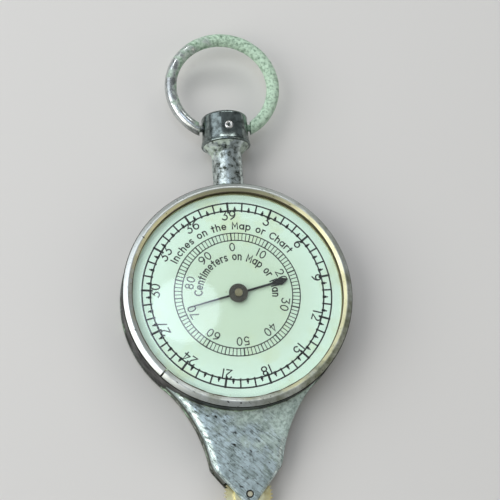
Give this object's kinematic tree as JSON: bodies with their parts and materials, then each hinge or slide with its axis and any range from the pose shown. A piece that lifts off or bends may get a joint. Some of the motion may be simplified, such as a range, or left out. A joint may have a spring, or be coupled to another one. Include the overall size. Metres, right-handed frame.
{
  "type": "map measurer",
  "caption": "Pocket opisometer for measuring distances on maps: tracing wheel, geared needle and round dial in a plated case with a bow ring.",
  "frame": {"origin": "the needle's axis, on the flat back face", "axes": "+Y along the body from the tracing wheel to the bow ring, +Z out of the dial, +X to the right as the dial is read"},
  "size_m": [0.0324, 0.071, 0.0078],
  "materials": {
    "nickel": "nickel plate over brass, scratched and pitted, with green corrosion at the seams and on the ring",
    "dark_nickel": "polished dark nickel plate",
    "brass": "bare brass, satin",
    "steel": "turned steel",
    "black_steel": "blackened steel, satin",
    "dial_enamel": "pale lacquer with printed scales, satin",
    "crystal": "clear domed crystal"
  },
  "bodies": {
    "case": {"back_shell": "nickel", "front_cover": "nickel", "case_drum": "nickel", "neck": "nickel", "cap": "dark_nickel", "cross_pin": "nickel", "bottom_plate": "brass", "top_plate": "brass", "pillars": "brass", "plate_screws": "steel", "centre_bush": "brass", "spacer_ring": "brass", "dial": "dial_enamel", "dial_hoop": "brass", "crystal": "crystal", "bezel_ring": "nickel"},
    "ring": {"bow_ring": "nickel"},
    "tracing": {"tracing_wheel": "brass", "wheel_axle": "steel"},
    "first_train": {"first_gear": "brass", "first_pinion": "steel", "first_arbor": "steel"},
    "second_train": {"second_gear": "brass", "second_pinion": "steel", "second_arbor": "steel"},
    "needle_train": {"centre_wheel": "brass", "needle_arbor": "brass", "needle_hub": "black_steel", "needle_blade": "black_steel"}
  },
  "joints": [
    {"name": "tracing_wheel_spin", "type": "hinge", "parent": "case", "child": "tracing", "pos_m": [0, -0.0273, 0.0019], "axis": [0, 0, 1], "continuous": true},
    {"name": "first_gear_spin", "type": "hinge", "parent": "case", "child": "first_train", "pos_m": [0, -0.01902, 0.0019], "axis": [0, 0, 1], "continuous": true},
    {"name": "second_gear_spin", "type": "hinge", "parent": "case", "child": "second_train", "pos_m": [0, -0.01002, 0.0012], "axis": [0, 0, 1], "continuous": true},
    {"name": "needle_spin", "type": "hinge", "parent": "case", "child": "needle_train", "pos_m": [0, 0, 0.0055], "axis": [0, 0, 1], "continuous": true},
    {"name": "ring_swing", "type": "hinge", "parent": "case", "child": "ring", "pos_m": [0, 0.02545, 0.00362], "axis": [1, 0, 0], "range_deg": [-155, 155]}
  ],
  "couplings": [
    {"joint": "first_gear_spin", "follows": "tracing_wheel_spin", "ratio": -0.625},
    {"joint": "second_gear_spin", "follows": "tracing_wheel_spin", "ratio": 0.125},
    {"joint": "needle_spin", "follows": "tracing_wheel_spin", "ratio": -0.02}
  ]
}
